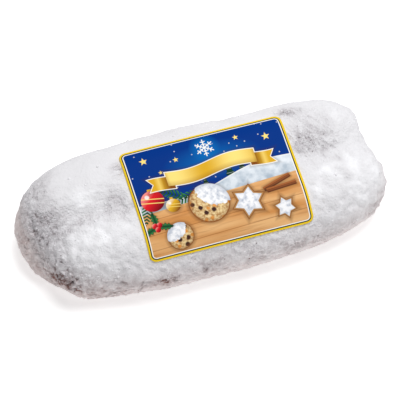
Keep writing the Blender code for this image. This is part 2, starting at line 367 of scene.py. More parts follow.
# %% Heaps of sugar and bulges of dough
# Partly painted light: besides heaped sugar, the large heaps on the front lip and at the right end whiten
# places that the lamp leaves darker.
HEAPS_AND_PAINTED_LIGHT = (
    Spot((-71, -24, 46), (21, 10, 9), 0.75),  # drifts on the front lip's left half
    Spot((-72, 3, 49), (11, 7, 7), 0.9),
    Spot((88, -19, 45), (20, 12, 10), 0.7),
    Spot((92, -33, 37), (14, 9, 9), 0.5),
    Spot((92, 18, 47), (16, 14, 10), 0.25),
    Spot((93, 19, 48), (4, 5, 4), 0.7),
    Spot((89, 14, 49), (3, 3, 3), 0.5),
    Spot((64, -29, 46), (3, 3, 3), 1.1),
    Spot((103, -22, 36), (4, 6, 4), 0.7),
    Spot((72, -18, 47), (3.5, 3, 3), 0.4),
    Spot((40, 36, 47), (7, 5, 5), 0.4),
    Spot((-40, 33, 48), (9, 5, 5), 0.2),
)
BAKED_BULGES = (
    Spot((-112, 8, 24), (12, 22, 18), 1.7),  # where baking pushed the crust out or in
    Spot((-66, 36, 44), (14, 12, 12), 1.2),
    Spot((-86, -42, 3), (11, 9, 10), 1.4),
    Spot((-99, -35, 10), (7, 7, 7), -1.2),
    Spot((112, -10, 28), (12, 12, 12), 1.0),
    Spot((108, -29, 15), (9, 9, 10), -1.2),
    Spot((76, 42, 38), (22, 10, 12), 0.7),
    Spot((105, 30, 34), (9, 12, 12), -0.7),
    Spot((10, -50, 10), (80, 9, 12), -0.7),
)
print(len(HEAPS_AND_PAINTED_LIGHT), "heaps of sugar and", len(BAKED_BULGES), "bulges")

# %% The coat of sugar
HAZE = 0.10  # how much a broad haze may thin the thick sugar
STEEP_LACK_AND_SHADE = 0.13  # how much sugar slides off where the side is steep, which also darkens the steep sides as painted shade
STREAK = np.array([0.38, -0.92, 0.0])  # the way that strokes run, across the fold
SQUEEZE = 0.58  # along STREAK, where strokes are longest


def drawn_out(points):
    """The points squeezed along STREAK, but not at the left end, so that noise on them runs in strokes."""
    squeeze = SQUEEZE * ramp(points[..., 0], -85, -30) * (points @ STREAK)
    return points - squeeze[..., None] * STREAK


def sugar_lack_and_shade(points, normals):
    """What the steep sides and the thin spots take off the sugar, which in part is painted shade on the
    sides.
    """
    steep = ramp(1 - normals[..., 2], 0.5, 1.4)
    return bells(points, THIN_SUGAR_AND_SHADE_SPOTS) + STEEP_LACK_AND_SHADE * steep


def sugar_cover(points, lack):
    """From 0, bare crust, over 1, thick sugar, to 1.3 on heaps: 1 less a broad haze and less the lack.

    Three octaves of noise break the lack up into patches, the finest of them drawn out along STREAK. The
    heaps are in part painted light, and the thin spots in part painted shade.
    """
    patches = 0.24 * lattice_noise(points, 9.0, 2) + 0.26 * lattice_noise(points, 4.4, 3)
    patches += 0.85 * lattice_noise(drawn_out(points), 2.2, 4)
    evener = np.maximum(ramp(points[..., 0], -82, -96), ramp(points[..., 1], -38, -46))
    patches *= 1 - 0.4 * evener  # at the left end and along the front foot
    haze = HAZE * (0.5 + 0.5 * lattice_noise(points, 20, 1) + 0.35 * lattice_noise(points, 7, 5))
    # Heaps: thicker sugar, and in part painted light.
    heaped_and_lit = 0.3 * bells(points, HEAPS_AND_PAINTED_LIGHT) * (1 + 0.9 * lattice_noise(points, 5.5, 6))
    return np.clip(1 - haze - lack * (0.9 + patches) + heaped_and_lit, 0, 1.3)


# %% Creases, and the crack at the tuck
TUCK_CRACK = np.array(
    [
        (-93.0, -30.5, 33.0),
        (-92.5, -33.0, 31.0),
        (-91.9, -34.1, 30.2),
        (-90.9, -37.5, 26.3),
        (-93.8, -35.6, 23.7),
        (-96.0, -31.0, 15.0),
    ]
)
CRACK_WIDTH, CRACK_DEPTH = 0.8, 2.2
CREASE_NETS = ((5.2, 41), (3.3, 42))  # the mesh width of each net of creases, and its seed
# The third number below is painted shade: how far the creases' colour is darkened.
CREASE_WIDTH, CREASE_DEPTH, CREASE_SHADE = 0.15, 0.8, 0.36


def creases(points, lack):
    """1 along a broken net of thin lines where the sugar lacks, and 0 between the lines.

    The lines are where noise on the drawn-out points crosses zero.
    """
    squeezed = drawn_out(points)
    net = 0 * lack
    for size, seed in CREASE_NETS:
        shaken = squeezed + 0.9 * lattice_noise(points, 2.6, seed + 2)[..., None]
        line = np.clip(1 - np.abs(lattice_noise(shaken, size, seed)) / CREASE_WIDTH, 0, 1)
        net = np.maximum(net, line * ramp(lattice_noise(points, 4.0, seed + 4), -0.35, 0.25))
    return net * ramp(lack, 0.12, 0.5)


def crack_nearness(points, path):
    """1 on the path's line and 0 away from it: e to the minus squared distance, in crack widths.

    The path is a chain of straight stretches, and noise moves each point a little before it is measured.
    """
    shaken = points + 1.1 * lattice_noise(points, 3.0, 31)[..., None]
    nearest = np.full(points.shape[:-1], np.inf)
    for start, end in zip(path[:-1], path[1:]):
        along = end - start
        share = np.clip((shaken - start) @ along / (along @ along), 0, 1)
        nearest = np.minimum(nearest, np.linalg.norm(shaken - start - share[..., None] * along, axis=-1))
    return np.exp(-((nearest / CRACK_WIDTH) ** 2))


# %% Lumps of crust and drifts of sugar
SUGAR_DEPTH, MEAN_COVER, HEAP_DEPTH = 0.7, 0.7, 0.8


def clods(points, size, seed):
    """Round tops with sharp clefts between them, from -1 to 1: the size of noise, which bends at zero."""
    return 2.6 * np.abs(lattice_noise(points, size, seed)) - 0.8


def lumpiness(points):
    """From 0.15 on top of the back fold to 1 on the front lip and at the right end.

    It is less near the table, and about a half on the back.
    """
    on_front, on_right = ramp(points[..., 1], 22, -4), ramp(points[..., 0], 48, 72)
    sheltered = ramp(points[..., 1], 38, 24) * (0.25 + 0.75 * ramp(points[..., 2], 6, 28))
    behind = 0.45 * ramp(points[..., 1], 41, 47)
    return 0.15 + 0.85 * np.maximum(np.maximum(on_front, on_right) * sheltered, behind)


def crust_relief(points, cover):
    """Height in millimetres over the plain dough.

    Broad lumps and the sugar's own thickness count everywhere. Clods of crust count where the sugar is
    thin, and soft drifts count where it is thick. Each term is a height times noise, whose size and seed
    follow the points.
    """
    broad = 0.60 * lattice_noise(points, 26, 11) + 0.50 * lattice_noise(points, 12, 12)
    rough = 0.45 * clods(points, 5.0, 13) + 0.85 * clods(drawn_out(points), 2.4, 14)
    drifts = 0.65 * clods(drawn_out(points), 6.0, 16) + 0.75 * lattice_noise(points, 3.2, 17)
    drifts += 0.30 * lattice_noise(points, 1.9, 18)
    heaps = HEAP_DEPTH * bells(points, HEAPS_AND_PAINTED_LIGHT) + bells(points, BAKED_BULGES)
    bare = np.clip(1 - cover, 0, 1)
    thickness = SUGAR_DEPTH * (cover - MEAN_COVER)
    return broad + thickness + heaps + bare * rough + (1 - bare) * drifts * lumpiness(points)


# %% Lay the sugar and the relief on the dough
PAPER_MARGIN, TABLE_MARGIN = 4, 3  # the relief fades out over these, towards the label and the table
normals = surface_normals(dough)
# The lack thins the sugar, and in part darkens the sides as painted shade.
lack = sugar_lack_and_shade(dough, normals)
cover = sugar_cover(dough, lack)
tuck_crack = crack_nearness(dough, TUCK_CRACK)
net = creases(dough, lack)
# Painted shade: this mask darkens the colour in the crack and the creases, which are carved as well.
crack = np.maximum(tuck_crack, CREASE_SHADE * net)
_, along_paper = over_paper(dough)
free = 1 - near_label(dough, along_paper, PAPER_MARGIN)
off_table = ramp(dough[..., 2], 0, TABLE_MARGIN)
carved = CRACK_DEPTH * tuck_crack + CREASE_DEPTH * net
relief = (crust_relief(dough, cover) - carved) * free * off_table
crust = dough + relief[..., None] * normals + TO_FRAME
print(f"relief {relief.min():.2f} to {relief.max():.2f} mm, mean cover {cover.mean():.2f}")


# %% Put the loaf into a mesh
def grid_faces(rows, columns, closed):
    """Quads between neighbouring rows, with the last column joined to the first where it is closed."""
    index = np.arange(rows * columns).reshape(rows, columns)
    after = np.roll(index, -1, axis=1)
    if not closed:
        index, after = index[:, :-1], index[:, 1:]
    return np.stack([index[:-1], after[:-1], after[1:], index[1:]], axis=-1).reshape(-1, 4)


def add_piece(name, points, faces, attributes=()):
    """A smooth-shaded mesh object from points in millimetres, which rides on the only body."""
    mesh = bpy.data.meshes.new(name)
    mesh.from_pydata((points * MM).tolist(), [], faces)
    for title, values in dict(attributes).items():
        mesh.attributes.new(title, "FLOAT", "POINT").data.foreach_set("value", values.astype(np.float32))
    mesh.shade_smooth()
    piece = bpy.data.objects.new(name, mesh)
    bpy.context.collection.objects.link(piece)
    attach(piece, "root")
    print(f"{name}: {sum(len(face) - 2 for face in faces)} triangles")
    return piece


def closed_off(values, crown_value, base_value):
    """A value for each point of the loaf's mesh: its rings, then the crown, then the middle of the base."""
    return np.concatenate([values[:-1].ravel(), [crown_value, base_value]])


body = crust[:-1]
crown_index = body[..., 0].size
crown = crust[-1].mean(axis=0)
under = np.array([TO_FRAME[0], TO_FRAME[1], 0.0])
rim_ring = np.arange(AROUND)
top_ring = crown_index - AROUND + rim_ring
top_fan = np.stack([top_ring, np.roll(top_ring, -1), np.full(AROUND, crown_index)], axis=-1)
base_fan = np.stack([np.roll(rim_ring, -1), rim_ring, np.full(AROUND, crown_index + 1)], axis=-1)
loaf_points = np.concatenate([body.reshape(-1, 3), [crown, under]])
loaf_looks = {
    "sugar": closed_off(cover, 1.0, 0.2),
    "crack": closed_off(crack, 0.0, 0.0),
    "lumps": closed_off(lumpiness(dough), 0.0, 0.0),
}
loaf_faces = grid_faces(RINGS - 1, AROUND, closed=True).tolist() + top_fan.tolist() + base_fan.tolist()
dusted_loaf = add_piece("dusted_loaf", loaf_points, loaf_faces, loaf_looks)
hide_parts("loaf")

# %% [markdown]
# ## Loose crumbs
#
# Icing sugar cakes into small clods, and some crust breaks off. A particle system would scatter them, but
# its instances would be lost when the model is exported. So one rough grain of a few faces is repeated by
# arrays into a single mesh: scaled, turned, and set into the crust at random places.

# %% Scatter the crumbs
CRUMBS = 1500
CRUMB_SIZE, CRUMB_SPREAD = 0.42, 0.38  # the middle radius, and the spread of its logarithm
CRUMB_SUNK = 0.2  # how deep a crumb is set into the crust, as a share of its radius
BURNT_SHARE = 0.05  # crumbs of crust with little sugar


def rough_grain():
    """Corners and triangles of an icosahedron, the smallest round shape."""
    build = bmesh.new()
    bmesh.ops.create_icosphere(build, subdivisions=1, radius=1)
    corners = np.array([corner.co for corner in build.verts])
    faces = np.array([[corner.index for corner in face.verts] for face in build.faces])
    build.free()
    return corners, faces


def random_turns(count, source):
    """Rotation matrices from random unit quaternions (w, x, y, z)."""
    w, x, y, z = source.normal(size=(4, count))
    length = np.sqrt(w * w + x * x + y * y + z * z)
    w, x, y, z = w / length, x / length, y / length, z / length
    rows = [
        [1 - 2 * (y * y + z * z), 2 * (x * y - z * w), 2 * (x * z + y * w)],
        [2 * (x * y + z * w), 1 - 2 * (x * x + z * z), 2 * (y * z - x * w)],
        [2 * (x * z - y * w), 2 * (y * z + x * w), 1 - 2 * (x * x + y * y)],
    ]
    return np.moveaxis(np.array(rows), -1, 0)


def scatter_crumbs():
    """Every crumb's points, triangles and tones, joined.

    A crumb's chance of lying in a grid cell follows the cell's area and its lack of sugar.
    """
    source = np.random.default_rng(21)
    corners, faces = rough_grain()
    sides = np.roll(crust, -1, axis=1) - crust, np.gradient(crust, axis=0)
    cell = np.linalg.norm(np.cross(*sides), axis=-1)
    clusters = ramp(lattice_noise(crust, 11, 22), -0.1, 0.6)
    chance = cell * (free > 0.9) * (off_table > 0.9) * (0.01 + clusters * np.clip(0.95 - cover, 0, 1))
    chance = (chance / chance.sum()).ravel()
    chosen = source.choice(chance.size, CRUMBS, p=chance)
    size = CRUMB_SIZE * np.exp(source.normal(0, CRUMB_SPREAD, CRUMBS))
    stretch = source.uniform(0.7, 1.25, (CRUMBS, 1, 3))
    bumps = source.uniform(0.78, 1.2, (CRUMBS, len(corners), 1))
    shaped = corners * bumps * stretch * size[:, None, None]
    shaped = np.einsum("nij,nkj->nki", random_turns(CRUMBS, source), shaped)
    sunk = normals.reshape(-1, 3)[chosen] * (size * CRUMB_SUNK)[:, None]
    where = crust.reshape(-1, 3)[chosen] - sunk
    points = (shaped + where[:, None, :]).reshape(-1, 3)
    joined = (faces[None] + (np.arange(CRUMBS) * len(corners))[:, None, None]).reshape(-1, 3)
    tone = np.clip(cover.ravel()[chosen] + source.uniform(0.0, 0.4, CRUMBS), 0, 1)
    bared = cover.ravel()[chosen] < 0.8
    tone[bared & (source.random(CRUMBS) < BURNT_SHARE)] = 0.2
    return points, joined.tolist(), np.repeat(tone, len(corners))


crumb_points, crumb_faces, crumb_tone = scatter_crumbs()
sugar_crumbs = add_piece("sugar_crumbs", crumb_points, crumb_faces, {"sugar": crumb_tone})

# %% [markdown]
# ## The label's sheet
#
# The label is a sheet of paper with round corners. Its rows run along the loaf and follow the belt's path,
# and a row that passes through a corner is shorter. A Solidify modifier gives the paper its thickness.
# Its UV map is flat, so the print doesn't notice that the paper bends.

# %% Bend the label over the loaf
LABEL_THICKNESS = 0.4
CORNER_ROWS, STRAIGHT_ROWS, LABEL_COLUMNS = 14, 70, 90


def label_rows():
    """Each row's distance along the paper and its half length. Corners are quarter circles."""
    into_corner = LABEL_CORNER * (1 - np.cos(np.linspace(0, np.pi / 2, CORNER_ROWS)))
    middle = np.linspace(LABEL_CORNER, LABEL_DEPTH - LABEL_CORNER, STRAIGHT_ROWS)
    distance = np.concatenate([into_corner[:-1], middle, LABEL_DEPTH - into_corner[-2::-1]])
    past = np.clip(LABEL_CORNER - np.minimum(distance, LABEL_DEPTH - distance), 0, None)
    shorter = LABEL_CORNER - np.sqrt(np.clip(LABEL_CORNER**2 - past**2, 0, None))
    return distance, LABEL_LENGTH / 2 - shorter


def make_label():
    """A grid of points: x spreads each row over its half length, and (y, z) is the belt's path, settled."""
    distance, half = label_rows()
    sheet = np.empty((len(distance), LABEL_COLUMNS, 3))
    across = half[:, None] * np.linspace(-1, 1, LABEL_COLUMNS)
    path, _ = label_path(distance)
    sheet[..., 0] = LABEL_CENTRE_X + across
    sheet[..., 1:] = path[:, None, :] + settle(sheet[..., 0])
    faces = grid_faces(len(distance), LABEL_COLUMNS, closed=False)[:, ::-1]
    made = add_piece("printed_label", (sheet + TO_FRAME).reshape(-1, 3), faces.tolist())
    up = np.broadcast_to(1 - distance[:, None] / LABEL_DEPTH, across.shape)
    flat = np.stack([across / LABEL_LENGTH + 0.5, up], axis=-1)
    uv = made.data.uv_layers.new(name="print")
    uv.data.foreach_set("uv", flat.reshape(-1, 2)[faces.ravel()].astype(np.float32).ravel())
    paper = made.modifiers.new("paper", "SOLIDIFY")
    paper.thickness = LABEL_THICKNESS * MM
    paper.offset = 1
    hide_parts("label")
    return made


printed_label = make_label()

# %% [markdown]
# ## Writing materials as sums
#
# A material is a tree of nodes, and maths in it takes one node for each step. The class below wraps a
# node's output so that Python's own operators add those Math nodes. `1 - mask * 0.5` then reads as it
# would on paper. Every other node comes from one method, which takes the settings and the inputs.


# %% A socket that can be used in a sum
class Wire:
    """One output of a node. Its operators add Math nodes to the same tree and return their outputs."""

    def __init__(self, finish, socket):
        self.finish, self.socket = finish, socket

    def maths(self, operation, *others):
        """A Math node on this value and the others."""
        inputs = dict(enumerate((self, *others)))
        return self.finish.node("ShaderNodeMath", {"operation": operation}, inputs)

    def __add__(self, other):
        return self.maths("ADD", other)

    def __sub__(self, other):
        return self.maths("SUBTRACT", other)

    def __mul__(self, other):
        return self.maths("MULTIPLY", other)

    def __rsub__(self, other):
        return self * -1 + other

    __radd__ = __add__
    __rmul__ = __mul__

    def size(self):
        """The value without its sign."""
        return self.maths("ABSOLUTE")

    def least(self, other):
        """The lower of two values."""
        return self.maths("MINIMUM", other)

    def most(self, other):
        """The higher of two values."""
        return self.maths("MAXIMUM", other)

    def held(self):
        """Held between 0 and 1."""
        return self.most(0.0).least(1.0)

    def ramp(self, low, high):
        """0 at low and 1 at high, straight between. High may be the lower number."""
        return ((self - low) * (1 / (high - low))).held()


class Finish:
    """A material under construction."""

    def __init__(self, name):
        self.material = bpy.data.materials.new(name)
        self.material.use_nodes = True
        self.tree = self.material.node_tree
        self.tree.nodes.clear()

    def node(self, kind, settings=None, inputs=None, output=0):
        """Adds a node, sets its settings first and then its inputs, and returns one output."""
        made = self.tree.nodes.new(kind)
        for title, value in (settings or {}).items():
            setattr(made, title, value)
        for title, value in (inputs or {}).items():
            if isinstance(value, Wire):
                self.tree.links.new(value.socket, made.inputs[title])
            else:
                made.inputs[title].default_value = value
        return Wire(self, made.outputs[output])

    def blend(self, first, second, share):
        """A colour between two colours. Inputs 0, 6 and 7 are the factor and the two colours."""
        return self.node("ShaderNodeMix", {"data_type": "RGBA"}, {0: share, 6: first, 7: second}, 2)

    def noise(self, place, scale, detail=2.0, stretch=(1, 1, 1)):
        """Noise from 0 to 1, with scale in waves for each metre."""
        moved = self.node("ShaderNodeMapping", {}, {"Vector": place, "Scale": stretch})
        return self.node("ShaderNodeTexNoise", {}, {"Vector": moved, "Scale": scale, "Detail": detail})

    def axis(self, place, name):
        """One coordinate of a place."""
        return self.node("ShaderNodeSeparateXYZ", {}, {"Vector": place}, name)

    def surface(self, **inputs):
        """Ends the tree with a Principled BSDF. The inputs are its sockets' names in lower case."""
        named = {title.replace("_", " ").title().replace("Ior", "IOR"): inputs[title] for title in inputs}
        shader = self.node("ShaderNodeBsdfPrincipled", {}, named)
        end = self.tree.nodes.new("ShaderNodeOutputMaterial")
        self.tree.links.new(shader.socket, end.inputs["Surface"])
        return self.material


def ink(red, green, blue):
    """A screen colour from 0 to 255 as the linear light that a shader takes."""
    share = np.array([red, green, blue]) / 255
    light = np.where(share <= 0.04045, share / 12.92, ((share + 0.055) / 1.055) ** 2.4)
    return (*light.tolist(), 1.0)


# %% [markdown]
# ## Sugar and crust
#
# Thick icing sugar is a bright, dry white. Where it is thin, the brown crust shows through it as a cold
# lilac grey, since fine grains scatter blue light most. So the colour runs from crust to veil to sugar
# along the mesh's own thickness, and finer noise breaks it up into grains, clods and strokes. As the
# thickness carries the thin spots and the heaps, part of this colour is painted shade and painted light.
# Near the table and at the left tip the crust is browner, and every colour is a little warmer there. The
# crack, the creases and fine folds are also darkened with painted shade. The same noise feeds a bump,
# which adds the grains that are too fine for the mesh.

# %% Mix the sugar
# The whitest sugar, on heaps; in part painted light, where heaps whiten places that the lamp leaves darker.
HEAPED_AND_LIT_SUGAR = ink(249, 249, 252)
THICK_SUGAR = ink(231, 230, 233)
WARM_SUGAR = ink(233, 226, 226)  # the warm ones lie near the table, where the crust is browner
SUGAR_VEIL = ink(197, 192, 196)
WARM_VEIL = ink(207, 188, 186)
COLD_CRUST = ink(122, 110, 110)
BAKED_CRUST = ink(146, 112, 105)
# Painted shade for the crack, the creases and fine folds.
CREVICE_SHADE = ink(66, 55, 54)
FOOT_TOP, FOOT_LOW = 36 * MM, 12 * MM  # warm colours begin at the first height and are full at the second
TIP_START, TIP_END = -104 * MM, -113 * MM  # and likewise along X at the left tip
CLOD_WAVES, GRAIN_WAVES, FOLD_WAVES, STROKE_WAVES = 330.0, 800.0, 400.0, 430.0  # for each metre
STROKE_STRETCH = (0.36, 1.0, 1.0)
BUMP_DEPTH = 1.1 * MM


def sugar_material():
    """A coat whose colours and bump follow the sugar's thickness plus noise.

    The level is the thickness, moved up or down by clods and grains, most where the sugar is thin. The
    crack, the creases and fine folds are darkened as painted shade.
    """
    finish = Finish("icing_sugar")
    place = finish.node("ShaderNodeTexCoord", output="Object")
    side, height = finish.axis(place, "X"), finish.axis(place, "Z")
    thickness = finish.node("ShaderNodeAttribute", {"attribute_name": "sugar"}, output="Fac")
    crack_shade_share = finish.node("ShaderNodeAttribute", {"attribute_name": "crack"}, output="Fac")
    lumps = finish.node("ShaderNodeAttribute", {"attribute_name": "lumps"}, output="Fac")
    thin = (1 - thickness).held()
    clods = finish.noise(place, CLOD_WAVES, 3.0) - 0.5
    streak_turn = (0.0, 0.0, float(-np.arctan2(STREAK[1], STREAK[0])))
    along_streak = finish.node("ShaderNodeMapping", {}, {"Vector": place, "Rotation": streak_turn})
    strokes = finish.noise(along_streak, STROKE_WAVES, 2.0, STROKE_STRETCH) - 0.5
    strokes = strokes * (height.ramp(40 * MM, 50 * MM) * 0.9 + 1.5)
    clods = clods + (strokes - clods) * side.ramp(-70 * MM, -10 * MM) * thin.ramp(0.04, 0.24)
    grains = finish.noise(place, GRAIN_WAVES, 2.0) - 0.5
    folds = (finish.noise(place, FOLD_WAVES, 2.0) - 0.5).size().ramp(0.04, 0.0) * thin.ramp(0.08, 0.5)
    level = thickness + (clods * 1.2 + grains * 1.1) * (thin * 0.9 + lumps * 0.07 + 0.02)
    warmth = (height.ramp(FOOT_TOP, FOOT_LOW) + side.ramp(TIP_START, TIP_END) * 0.8).held()
    veil = finish.blend(SUGAR_VEIL, WARM_VEIL, warmth)
    crust_colour = finish.blend(COLD_CRUST, BAKED_CRUST, warmth * 1.4)
    colour = finish.blend(crust_colour, veil, level.ramp(0.0, 0.34))
    thick = finish.blend(THICK_SUGAR, WARM_SUGAR, warmth)
    colour = finish.blend(colour, thick, level.ramp(0.28, 0.92))
    # Whitest on heaps, in part as painted light.
    colour = finish.blend(colour, HEAPED_AND_LIT_SUGAR, level.ramp(0.95, 1.2))
    # Painted shade: the colour darkens in the crack, the creases and fine folds.
    dark = (crack_shade_share + grains * 0.5).ramp(0.22, 0.95) * crack_shade_share.ramp(0.0, 0.3)
    colour = finish.blend(colour, CREVICE_SHADE, (dark * 0.85).most(folds * 0.08))
    relief_height = (clods * 1.2 + grains * 1.1) * (thin + lumps * 0.35 + 0.1) - dark * 0.5 - folds * 0.2
    bump_inputs = {"Height": relief_height, "Distance": BUMP_DEPTH, "Strength": 1.0}
    bump = finish.node("ShaderNodeBump", {}, bump_inputs)
    return finish.surface(base_color=colour, roughness=0.92, normal=bump, specular_ior_level=0.12)


icing_sugar = sugar_material()
dusted_loaf.data.materials.append(icing_sugar)
sugar_crumbs.data.materials.append(icing_sugar)

# %% [markdown]
# ## The print
#
# The print is fields of colour and simple shapes. Each shape is a *distance*: a number that is negative
# inside it and positive outside, in millimetres on the paper. A narrow ramp across zero turns a distance
# into a mask with a clean edge, and colours are laid over each other in the order in which a printer would.

# %% Shapes on the paper
EDGE = 0.16  # the softness of a printed edge


def inside(distance):
    """A mask from a distance."""
    return (0.5 - distance * (1 / EDGE)).held()


def length(x, y):
    """The distance from (0, 0): the root of x^2 + y^2."""
    return (x * x + y * y).maths("SQRT")


def disc(x, y, middle, radius):
    """Distance to a disc: the distance from its middle, less its radius."""
    return length(x - middle[0], y - middle[1]) - radius


def round_box(x, y, middle, half, corner):
    """Distance to a box with round corners: how far a point lies past the inner box, less the radius."""
    past_x = (x - middle[0]).size() - (half[0] - corner)
    past_y = (y - middle[1]).size() - (half[1] - corner)
    return past_x.most(past_y).least(0.0) + length(past_x.most(0.0), past_y.most(0.0)) - corner


def turned(x, y, middle, degrees):
    """Coordinates on a shape that is centred at middle and turned by this angle."""
    cosine, sine = np.cos(np.radians(degrees)), np.sin(np.radians(degrees))
    x, y = x - middle[0], y - middle[1]
    return x * cosine + y * sine, y * cosine - x * sine


def folded(x, y, points, degrees):
    """Polar coordinates folded into half of one point of a star: across the point, and from its middle."""
    sector = 2 * np.pi / points
    angle = y.maths("ARCTAN2", x) - np.radians(degrees)
    fold = angle.maths("PINGPONG", sector / 2)
    radius = length(x, y)
    return radius * fold.maths("COSINE"), radius * fold.maths("SINE")


def star(x, y, middle, outer, inner, points, degrees=90):
    """Distance to a star: past the straight edge that runs from a tip to the valley beside it."""
    along, aside = folded(x - middle[0], y - middle[1], points, degrees)
    valley = inner * np.cos(np.pi / points), inner * np.sin(np.pi / points)
    edge = np.array([valley[0] - outer, valley[1]])
    normal = np.array([edge[1], -edge[0]]) / np.hypot(*edge)
    return (along - outer) * float(normal[0]) + aside * float(normal[1])


def leaf(x, y, middle, degrees, half_length, half_width):
    """Distance to a holly leaf: a lens whose edge is drawn out into spines by a cosine."""
    along, aside = turned(x, y, middle, degrees)
    lens = 1 - (along * (1 / half_length)).maths("POWER", 2.0)
    spines = (along * (2.3 * np.pi / half_length)).maths("COSINE").size() * 0.42 + 0.58
    return aside.size() - lens * spines * half_width


# %% Inks
YELLOW = ink(246, 208, 40)
FRAME_LINE = ink(24, 26, 38)
PAPER_WHITE = ink(250, 248, 242)
DEEP_BLUE, GLOW_BLUE = ink(0, 52, 134), ink(0, 112, 190)
GOLD_LIGHT, GOLD, GOLD_DARK = ink(254, 226, 128), ink(222, 172, 40), ink(132, 74, 20)
WOOD_LIGHT, WOOD, WOOD_DARK = ink(236, 186, 128), ink(208, 144, 82), ink(150, 88, 44)
SNOW_LIGHT, SNOW_SHADE = ink(232, 238, 244), ink(150, 168, 184)
ICING, ICING_SHADE = ink(250, 250, 252), ink(182, 190, 204)
CRUMB_LIGHT, CRUMB_DARK, BAKED_RIM = ink(240, 214, 160), ink(178, 132, 80), ink(140, 84, 40)
RAISIN, PEEL = ink(66, 40, 34), ink(226, 140, 44)
CINNAMON, CINNAMON_DARK = ink(164, 96, 52), ink(86, 44, 26)
RED, RED_DARK, RED_LIGHT = ink(218, 28, 40), ink(120, 6, 22), ink(255, 170, 160)
GREEN, GREEN_DARK = ink(58, 132, 70), ink(12, 58, 38)
SHADOW = ink(60, 34, 22)

# %% [markdown]
# The layers go from the back to the front: the night sky, a snowy hill with firs, the wooden table, the
# things that lie on it, the ribbon, and last the frame that runs round the label. Flat shapes alone would
# look like cut paper. So a ball is lit from its upper left, dough is mottled with noise, raisins are cells
# of a Voronoi pattern, and everything on the table casts a soft shadow.


# %% Light, shadow and crumb
def cast_shadow(finish, colour, distance, reach=2.2):
    """Darkens the ground round a shape, most at its edge and not at all at the reach."""
    return finish.blend(colour, SHADOW, distance.ramp(reach, -0.4) * 0.55)


def rounded(finish, x, y, middle, radius, light, plain, shade):
    """A ball's colours: light towards the upper left, plain in the middle and shade at the lower right."""
    tilt = ((y - middle[1]) - (x - middle[0])) * (0.7 / radius)
    colour = finish.blend(plain, shade, tilt.ramp(0.1, -0.9))
    return finish.blend(colour, light, tilt.ramp(0.2, 1.2))


def blots(finish, place, scale, share, reach):
    """A mask of small blots, one round the middle of each of a share of random cells."""
    flat, cells = {"voronoi_dimensions": "2D"}, {"Vector": place, "Scale": scale}
    away = finish.node("ShaderNodeTexVoronoi", flat, cells, "Distance")
    chance = finish.node("ShaderNodeTexVoronoi", flat, cells, "Color")
    chance = finish.node("ShaderNodeSeparateColor", {}, {"Color": chance}, "Red")
    return away.ramp(reach, reach * 0.6) * chance.ramp(share + 0.01, share)


def cut_dough(finish, place):
    """The cut face of a fruit dough: mottled crumb with raisins and candied peel."""
    colour = finish.blend(CRUMB_DARK, CRUMB_LIGHT, finish.noise(place, 620.0, 3.0).ramp(0.36, 0.60))
    colour = finish.blend(colour, PEEL, blots(finish, place, 300.0, 0.35, 0.42) * 0.8)
    return finish.blend(colour, RAISIN, blots(finish, place, 255.0, 0.42, 0.46))


def powdered(finish, place):
    """Icing sugar with soft hollows."""
    return finish.blend(ICING_SHADE, ICING, finish.noise(place, 330.0, 3.0).ramp(0.30, 0.56))


# %% The fields behind
FLAKE_HEIGHT = 26.2
FLAKE_SPOKES = ((1.9, 1.4), (3.7, 1.7))  # where each leaves its arm, and its length
GOLD_STARS = (((-38, 27), 2.6), ((-19, 23), 1.8), ((20, 28), 1.9), ((38, 24), 2.7), ((-30, 17), 1.5))
FIRS = (((10, 4.4), 8.5), ((18, 6.6), 6.0), ((-6, 2.2), 5.5))  # the foot and height of each


def sky_layer(finish, x, y, place):
    """Deep blue with a glow in its middle, a large snowflake, small stars and falling snow."""
    glow = (1 - length((x - 2) * 0.032, (y - 17) * 0.075)).held()
    colour = finish.blend(DEEP_BLUE, GLOW_BLUE, glow * 0.75)
    colour = finish.blend(colour, PAPER_WHITE, blots(finish, place, 210.0, 0.30, 0.11) * 0.55)
    along, aside = folded(x, y - FLAKE_HEIGHT, 6, 90)
    flake = round_box(along, aside, (3.0, 0), (3.0, 0.34), 0.3)
    for start, reach in FLAKE_SPOKES:
        spoke_x, spoke_y = turned(along, aside, (start, 0), 60)
        flake = flake.least(round_box(spoke_x, spoke_y, (reach / 2, 0), (reach / 2, 0.28), 0.2))
    halo = length(x, y - FLAKE_HEIGHT).ramp(10.0, 3.0)
    colour = finish.blend(colour, GLOW_BLUE, halo * 0.8)
    colour = finish.blend(colour, PAPER_WHITE, inside(flake))
    for middle, size in GOLD_STARS:
        colour = finish.blend(colour, GOLD_LIGHT, inside(star(x, y, middle, size, size * 0.42, 5)))
    return colour


def table_layer(finish, x, y, place):
    """Boards of light wood: a grain of stretched noise, and a dark joint every 9 mm."""
    boards = finish.noise(place, 130.0, 1.0, (0.15, 1.0, 1.0))
    colour = finish.blend(WOOD, WOOD_LIGHT, boards.ramp(0.35, 0.65))
    grain = finish.noise(place, 620.0, 3.0, (0.07, 1.0, 1.0))
    colour = finish.blend(colour, WOOD_DARK, grain.ramp(0.52, 0.75) * 0.45)
    joint = (y + 2.0 - x * 0.03).maths("PINGPONG", 4.5).ramp(0.35, 0.0)
    return finish.blend(colour, WOOD_DARK, joint * 0.7)


